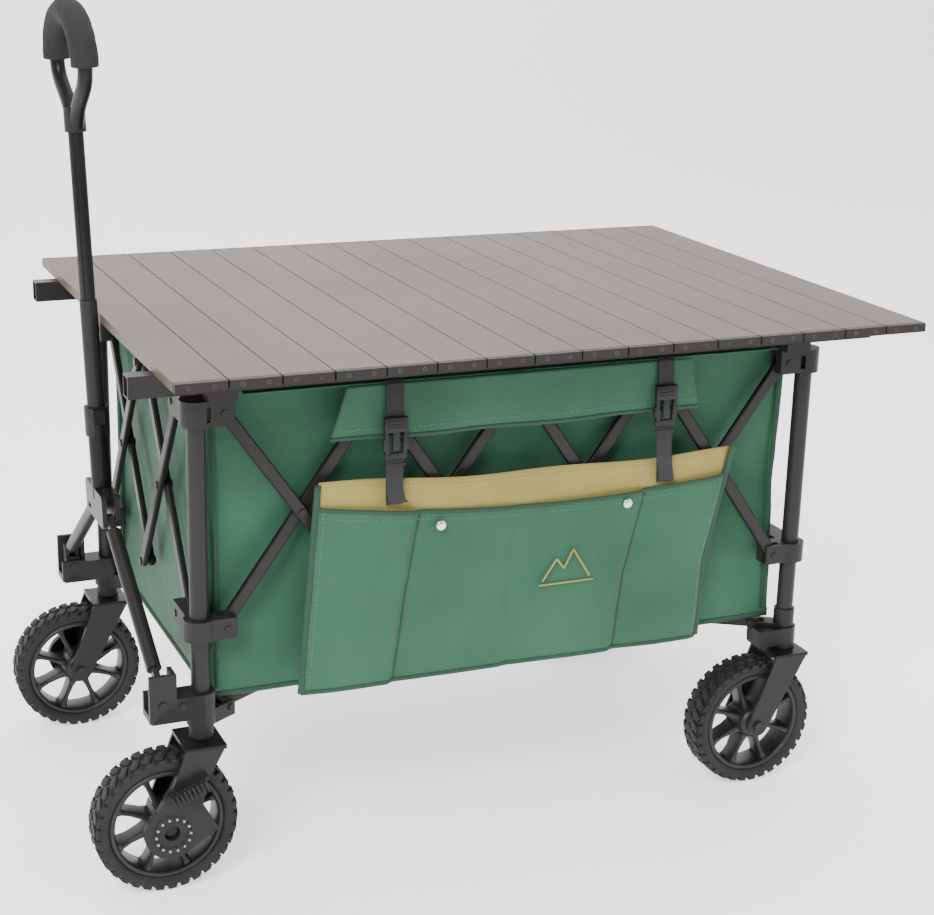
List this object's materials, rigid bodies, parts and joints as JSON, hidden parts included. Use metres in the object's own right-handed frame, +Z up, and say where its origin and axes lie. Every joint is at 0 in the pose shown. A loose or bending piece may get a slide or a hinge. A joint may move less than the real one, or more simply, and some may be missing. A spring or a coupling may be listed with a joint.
{
  "type": "folding camp wagon",
  "caption": "Four-wheeled folding wagon with a scissor frame, fabric basket with outside pockets, telescoping pull handle and a lift-off slatted table top.",
  "frame": {"origin": "on the floor midway between the four corner posts", "axes": "+X from the pull handle towards the rear wheels, +Y away from the pocket side, +Z up"},
  "size_m": [1.2157, 0.826, 1.1934],
  "materials": {
    "frame_paint": "satin",
    "bracket_plastic": "matte",
    "foam": "matte",
    "wheel": "matte",
    "slat": "satin",
    "cloth": "matte",
    "webbing": "matte"
  },
  "bodies": {
    "basket_body": {"basket": "cloth", "pocket_panel": "cloth", "straps": "webbing", "floor_struts": "frame_paint"},
    "post_front_near": {"post_front_near": "frame_paint", "foot_front_near": "bracket_plastic"},
    "slider_front_near": {"slider_front_near": "bracket_plastic"},
    "wheel_front_near": {"wheel_front_near": "wheel"},
    "fork_front_near": {"fork_front_near": "frame_paint"},
    "brake_front_near": {"brake_front_near": "bracket_plastic"},
    "post_front_far": {"post_front_far": "frame_paint", "foot_front_far": "bracket_plastic"},
    "slider_front_far": {"slider_front_far": "bracket_plastic"},
    "wheel_front_far": {"wheel_front_far": "wheel"},
    "fork_front_far": {"fork_front_far": "frame_paint"},
    "brake_front_far": {"brake_front_far": "bracket_plastic"},
    "post_rear_near": {"post_rear_near": "frame_paint", "foot_rear_near": "bracket_plastic", "fork_rear_near": "frame_paint"},
    "slider_rear_near": {"slider_rear_near": "bracket_plastic"},
    "wheel_rear_near": {"wheel_rear_near": "wheel"},
    "post_rear_far": {"post_rear_far": "frame_paint", "foot_rear_far": "bracket_plastic", "fork_rear_far": "frame_paint"},
    "slider_rear_far": {"slider_rear_far": "bracket_plastic"},
    "wheel_rear_far": {"wheel_rear_far": "wheel"},
    "near_bar_d0": {"near_bar_d0": "frame_paint"},
    "near_bar_u0": {"near_bar_u0": "frame_paint"},
    "near_bar_d1": {"near_bar_d1": "frame_paint"},
    "near_bar_u1": {"near_bar_u1": "frame_paint"},
    "near_bar_d2": {"near_bar_d2": "frame_paint"},
    "near_bar_u2": {"near_bar_u2": "frame_paint"},
    "near_bar_d3": {"near_bar_d3": "frame_paint"},
    "near_bar_u3": {"near_bar_u3": "frame_paint"},
    "yoke_pivot_near": {"yoke_pivot_near": "bracket_plastic"},
    "yoke_tube_near": {"yoke_tube_near": "frame_paint"},
    "far_bar_d0": {"far_bar_d0": "frame_paint"},
    "far_bar_u0": {"far_bar_u0": "frame_paint"},
    "far_bar_d1": {"far_bar_d1": "frame_paint"},
    "far_bar_u1": {"far_bar_u1": "frame_paint"},
    "far_bar_d2": {"far_bar_d2": "frame_paint"},
    "far_bar_u2": {"far_bar_u2": "frame_paint"},
    "far_bar_d3": {"far_bar_d3": "frame_paint"},
    "far_bar_u3": {"far_bar_u3": "frame_paint"},
    "yoke_pivot_far": {"yoke_pivot_far": "bracket_plastic"},
    "yoke_tube_far": {"yoke_tube_far": "frame_paint"},
    "front_bar_d0": {"front_bar_d0": "frame_paint"},
    "front_bar_u0": {"front_bar_u0": "frame_paint"},
    "front_bar_d1": {"front_bar_d1": "frame_paint"},
    "front_bar_u1": {"front_bar_u1": "frame_paint"},
    "rear_bar_d0": {"rear_bar_d0": "frame_paint"},
    "rear_bar_u0": {"rear_bar_u0": "frame_paint"},
    "rear_bar_d1": {"rear_bar_d1": "frame_paint"},
    "rear_bar_u1": {"rear_bar_u1": "frame_paint"},
    "handle_base": {"handle_base": "frame_paint"},
    "handle_mid": {"handle_mid": "frame_paint"},
    "handle_upper": {"handle_upper": "frame_paint", "grip_foam": "foam"},
    "table": {"table_slats": "slat", "table_rails": "frame_paint"}
  },
  "joints": [
    {"name": "frame_fold", "type": "slide", "parent": "basket_body", "child": "post_front_near", "axis": [0.8944, 0.4472, 0], "range_m": [0, 0.34659], "deforming": ["basket", "pocket_panel", "straps", "floor_struts"]},
    {"name": "near_bar_d0_pivot", "type": "hinge", "parent": "post_front_near", "child": "near_bar_d0", "pos_m": [-0.434, -0.284, 0.681], "axis": [0, 1, 0], "range_deg": [-0.02, 25.92]},
    {"name": "near_bar_u1_pivot", "type": "hinge", "parent": "near_bar_d0", "child": "near_bar_u1", "pos_m": [-0.217, -0.284, 0.376], "axis": [0, 1, 0], "range_deg": [-51.81, 0.02]},
    {"name": "near_bar_d2_pivot", "type": "hinge", "parent": "near_bar_u1", "child": "near_bar_d2", "pos_m": [0, -0.284, 0.681], "axis": [0, 1, 0], "range_deg": [-0.02, 51.81]},
    {"name": "near_bar_u3_pivot", "type": "hinge", "parent": "near_bar_d2", "child": "near_bar_u3", "pos_m": [0.217, -0.284, 0.376], "axis": [0, 1, 0], "range_deg": [-51.81, 0.02]},
    {"name": "post_rear_near_pivot", "type": "hinge", "parent": "near_bar_u3", "child": "post_rear_near", "pos_m": [0.434, -0.284, 0.681], "axis": [0, 1, 0], "range_deg": [-0.02, 25.92]},
    {"name": "near_bar_u0_pivot", "type": "hinge", "parent": "near_bar_d0", "child": "near_bar_u0", "pos_m": [-0.3255, -0.284, 0.5285], "axis": [0, 1, 0], "range_deg": [-51.81, 0.02]},
    {"name": "near_bar_d1_pivot", "type": "hinge", "parent": "near_bar_u1", "child": "near_bar_d1", "pos_m": [-0.1085, -0.284, 0.5285], "axis": [0, 1, 0], "range_deg": [-0.02, 51.81]},
    {"name": "near_bar_u2_pivot", "type": "hinge", "parent": "near_bar_d2", "child": "near_bar_u2", "pos_m": [0.1085, -0.284, 0.5285], "axis": [0, 1, 0], "range_deg": [-51.81, 0.02]},
    {"name": "near_bar_d3_pivot", "type": "hinge", "parent": "near_bar_u3", "child": "near_bar_d3", "pos_m": [0.3255, -0.284, 0.5285], "axis": [0, 1, 0], "range_deg": [-0.02, 51.81]},
    {"name": "slider_front_near_pivot", "type": "hinge", "parent": "near_bar_u0", "child": "slider_front_near", "pos_m": [-0.434, -0.284, 0.376], "axis": [0, 1, 0], "range_deg": [-0.02, 25.92]},
    {"name": "slider_rear_near_pivot", "type": "hinge", "parent": "near_bar_d3", "child": "slider_rear_near", "pos_m": [0.434, -0.284, 0.376], "axis": [0, 1, 0], "range_deg": [-25.92, 0.02]},
    {"name": "front_bar_d0_pivot", "type": "hinge", "parent": "post_front_near", "child": "front_bar_d0", "pos_m": [-0.47, -0.217, 0.681], "axis": [1, 0, 0], "range_deg": [-25.92, 0.02]},
    {"name": "front_bar_u1_pivot", "type": "hinge", "parent": "front_bar_d0", "child": "front_bar_u1", "pos_m": [-0.47, 0, 0.376], "axis": [1, 0, 0], "range_deg": [-0.02, 51.81]},
    {"name": "post_front_far_pivot", "type": "hinge", "parent": "front_bar_u1", "child": "post_front_far", "pos_m": [-0.47, 0.217, 0.681], "axis": [1, 0, 0], "range_deg": [-25.92, 0.02]},
    {"name": "front_bar_u0_pivot", "type": "hinge", "parent": "front_bar_d0", "child": "front_bar_u0", "pos_m": [-0.47, -0.1085, 0.5285], "axis": [1, 0, 0], "range_deg": [-0.02, 51.81]},
    {"name": "front_bar_d1_pivot", "type": "hinge", "parent": "front_bar_u1", "child": "front_bar_d1", "pos_m": [-0.47, 0.1085, 0.5285], "axis": [1, 0, 0], "range_deg": [-51.81, 0.02]},
    {"name": "far_bar_d0_pivot", "type": "hinge", "parent": "post_front_far", "child": "far_bar_d0", "pos_m": [-0.434, 0.284, 0.681], "axis": [0, 1, 0], "range_deg": [-0.02, 25.92]},
    {"name": "far_bar_u1_pivot", "type": "hinge", "parent": "far_bar_d0", "child": "far_bar_u1", "pos_m": [-0.217, 0.284, 0.376], "axis": [0, 1, 0], "range_deg": [-51.81, 0.02]},
    {"name": "far_bar_d2_pivot", "type": "hinge", "parent": "far_bar_u1", "child": "far_bar_d2", "pos_m": [0, 0.284, 0.681], "axis": [0, 1, 0], "range_deg": [-0.02, 51.81]},
    {"name": "far_bar_u3_pivot", "type": "hinge", "parent": "far_bar_d2", "child": "far_bar_u3", "pos_m": [0.217, 0.284, 0.376], "axis": [0, 1, 0], "range_deg": [-51.81, 0.02]},
    {"name": "post_rear_far_pivot", "type": "hinge", "parent": "far_bar_u3", "child": "post_rear_far", "pos_m": [0.434, 0.284, 0.681], "axis": [0, 1, 0], "range_deg": [-0.02, 25.92]},
    {"name": "far_bar_u0_pivot", "type": "hinge", "parent": "far_bar_d0", "child": "far_bar_u0", "pos_m": [-0.3255, 0.284, 0.5285], "axis": [0, 1, 0], "range_deg": [-51.81, 0.02]},
    {"name": "far_bar_d1_pivot", "type": "hinge", "parent": "far_bar_u1", "child": "far_bar_d1", "pos_m": [-0.1085, 0.284, 0.5285], "axis": [0, 1, 0], "range_deg": [-0.02, 51.81]},
    {"name": "far_bar_u2_pivot", "type": "hinge", "parent": "far_bar_d2", "child": "far_bar_u2", "pos_m": [0.1085, 0.284, 0.5285], "axis": [0, 1, 0], "range_deg": [-51.81, 0.02]},
    {"name": "far_bar_d3_pivot", "type": "hinge", "parent": "far_bar_u3", "child": "far_bar_d3", "pos_m": [0.3255, 0.284, 0.5285], "axis": [0, 1, 0], "range_deg": [-0.02, 51.81]},
    {"name": "slider_front_far_pivot", "type": "hinge", "parent": "far_bar_u0", "child": "slider_front_far", "pos_m": [-0.434, 0.284, 0.376], "axis": [0, 1, 0], "range_deg": [-0.02, 25.92]},
    {"name": "slider_rear_far_pivot", "type": "hinge", "parent": "far_bar_d3", "child": "slider_rear_far", "pos_m": [0.434, 0.284, 0.376], "axis": [0, 1, 0], "range_deg": [-25.92, 0.02]},
    {"name": "rear_bar_d0_pivot", "type": "hinge", "parent": "post_rear_near", "child": "rear_bar_d0", "pos_m": [0.47, -0.217, 0.681], "axis": [1, 0, 0], "range_deg": [-25.92, 0.02]},
    {"name": "rear_bar_u1_pivot", "type": "hinge", "parent": "rear_bar_d0", "child": "rear_bar_u1", "pos_m": [0.47, 0, 0.376], "axis": [1, 0, 0], "range_deg": [-0.02, 51.81]},
    {"name": "rear_bar_u0_pivot", "type": "hinge", "parent": "rear_bar_d0", "child": "rear_bar_u0", "pos_m": [0.47, -0.1085, 0.5285], "axis": [1, 0, 0], "range_deg": [-0.02, 51.81]},
    {"name": "rear_bar_d1_pivot", "type": "hinge", "parent": "rear_bar_u1", "child": "rear_bar_d1", "pos_m": [0.47, 0.1085, 0.5285], "axis": [1, 0, 0], "range_deg": [-51.81, 0.02]},
    {"name": "handle_swing", "type": "hinge", "parent": "post_front_near", "child": "yoke_pivot_near", "pos_m": [-0.527, -0.284, 0.278], "axis": [0, 1, 0], "range_deg": [-95, 0]},
    {"name": "handle_swing_far", "type": "hinge", "parent": "post_front_far", "child": "yoke_pivot_far", "pos_m": [-0.527, 0.284, 0.278], "axis": [0, 1, 0], "range_deg": [-95.02, 0.02]},
    {"name": "yoke_tube_near_fold", "type": "hinge", "parent": "yoke_pivot_near", "child": "yoke_tube_near", "pos_m": [-0.52788, -0.284, 0.30198], "axis": [0.9993, 0, 0.0366], "range_deg": [-0.02, 39.1]},
    {"name": "yoke_tube_far_fold", "type": "hinge", "parent": "yoke_pivot_far", "child": "yoke_tube_far", "pos_m": [-0.52788, 0.284, 0.30198], "axis": [0.9993, 0, 0.0366], "range_deg": [-39.1, 0.02]},
    {"name": "handle_base_fold", "type": "hinge", "parent": "yoke_tube_near", "child": "handle_base", "pos_m": [-0.53374, -0.042, 0.46188], "axis": [0.9993, 0, 0.0366], "range_deg": [-39.1, 0.02]},
    {"name": "handle_mid_slide", "type": "slide", "parent": "handle_base", "child": "handle_mid", "axis": [-0.0366, 0, 0.9993], "range_m": [-0.06, 0]},
    {"name": "handle_upper_slide", "type": "slide", "parent": "handle_mid", "child": "handle_upper", "axis": [-0.0366, 0, 0.9993], "range_m": [-0.16, 0]},
    {"name": "caster_swivel_near", "type": "hinge", "parent": "post_front_near", "child": "fork_front_near", "pos_m": [-0.47, -0.284, 0.24], "axis": [0, 0, 1], "continuous": true},
    {"name": "wheel_spin_front_near", "type": "hinge", "parent": "fork_front_near", "child": "wheel_front_near", "pos_m": [-0.526, -0.284, 0.1015], "axis": [0, 1, 0], "continuous": true},
    {"name": "brake_pedal_near", "type": "hinge", "parent": "fork_front_near", "child": "brake_front_near", "pos_m": [-0.526, -0.284, 0.1015], "axis": [0, 1, 0], "range_deg": [0, 12]},
    {"name": "wheel_spin_rear_near", "type": "hinge", "parent": "post_rear_near", "child": "wheel_rear_near", "pos_m": [0.414, -0.284, 0.1015], "axis": [0, 1, 0], "continuous": true},
    {"name": "caster_swivel_far", "type": "hinge", "parent": "post_front_far", "child": "fork_front_far", "pos_m": [-0.47, 0.284, 0.24], "axis": [0, 0, 1], "continuous": true},
    {"name": "wheel_spin_front_far", "type": "hinge", "parent": "fork_front_far", "child": "wheel_front_far", "pos_m": [-0.526, 0.284, 0.1015], "axis": [0, 1, 0], "continuous": true},
    {"name": "brake_pedal_far", "type": "hinge", "parent": "fork_front_far", "child": "brake_front_far", "pos_m": [-0.526, 0.284, 0.1015], "axis": [0, 1, 0], "range_deg": [0, 12]},
    {"name": "wheel_spin_rear_far", "type": "hinge", "parent": "post_rear_far", "child": "wheel_rear_far", "pos_m": [0.414, 0.284, 0.1015], "axis": [0, 1, 0], "continuous": true},
    {"name": "table_lift", "type": "slide", "parent": "post_front_near", "child": "table", "axis": [0, 0, 1], "range_m": [0, 0.3]}
  ],
  "couplings": [
    {"joint": "near_bar_d0_pivot", "follows": "frame_fold", "rad_per_m": 1.3041},
    {"joint": "near_bar_u1_pivot", "follows": "frame_fold", "rad_per_m": -2.6082},
    {"joint": "near_bar_d2_pivot", "follows": "frame_fold", "rad_per_m": 2.6082},
    {"joint": "near_bar_u3_pivot", "follows": "frame_fold", "rad_per_m": -2.6082},
    {"joint": "post_rear_near_pivot", "follows": "frame_fold", "rad_per_m": 1.3041},
    {"joint": "near_bar_u0_pivot", "follows": "frame_fold", "rad_per_m": -2.6082},
    {"joint": "near_bar_d1_pivot", "follows": "frame_fold", "rad_per_m": 2.6082},
    {"joint": "near_bar_u2_pivot", "follows": "frame_fold", "rad_per_m": -2.6082},
    {"joint": "near_bar_d3_pivot", "follows": "frame_fold", "rad_per_m": 2.6082},
    {"joint": "slider_front_near_pivot", "follows": "frame_fold", "rad_per_m": 1.3041},
    {"joint": "slider_rear_near_pivot", "follows": "frame_fold", "rad_per_m": -1.3041},
    {"joint": "front_bar_d0_pivot", "follows": "frame_fold", "rad_per_m": -1.3041},
    {"joint": "front_bar_u1_pivot", "follows": "frame_fold", "rad_per_m": 2.6082},
    {"joint": "post_front_far_pivot", "follows": "frame_fold", "rad_per_m": -1.3041},
    {"joint": "front_bar_u0_pivot", "follows": "frame_fold", "rad_per_m": 2.6082},
    {"joint": "front_bar_d1_pivot", "follows": "frame_fold", "rad_per_m": -2.6082},
    {"joint": "far_bar_d0_pivot", "follows": "frame_fold", "rad_per_m": 1.3041},
    {"joint": "far_bar_u1_pivot", "follows": "frame_fold", "rad_per_m": -2.6082},
    {"joint": "far_bar_d2_pivot", "follows": "frame_fold", "rad_per_m": 2.6082},
    {"joint": "far_bar_u3_pivot", "follows": "frame_fold", "rad_per_m": -2.6082},
    {"joint": "post_rear_far_pivot", "follows": "frame_fold", "rad_per_m": 1.3041},
    {"joint": "far_bar_u0_pivot", "follows": "frame_fold", "rad_per_m": -2.6082},
    {"joint": "far_bar_d1_pivot", "follows": "frame_fold", "rad_per_m": 2.6082},
    {"joint": "far_bar_u2_pivot", "follows": "frame_fold", "rad_per_m": -2.6082},
    {"joint": "far_bar_d3_pivot", "follows": "frame_fold", "rad_per_m": 2.6082},
    {"joint": "slider_front_far_pivot", "follows": "frame_fold", "rad_per_m": 1.3041},
    {"joint": "slider_rear_far_pivot", "follows": "frame_fold", "rad_per_m": -1.3041},
    {"joint": "rear_bar_d0_pivot", "follows": "frame_fold", "rad_per_m": -1.3041},
    {"joint": "rear_bar_u1_pivot", "follows": "frame_fold", "rad_per_m": 2.6082},
    {"joint": "rear_bar_u0_pivot", "follows": "frame_fold", "rad_per_m": 2.6082},
    {"joint": "rear_bar_d1_pivot", "follows": "frame_fold", "rad_per_m": -2.6082},
    {"joint": "handle_swing_far", "follows": "handle_swing", "ratio": 1},
    {"joint": "yoke_tube_near_fold", "follows": "frame_fold", "rad_per_m": 1.9679},
    {"joint": "yoke_tube_far_fold", "follows": "frame_fold", "rad_per_m": -1.9679},
    {"joint": "handle_base_fold", "follows": "frame_fold", "rad_per_m": -1.9679}
  ]
}
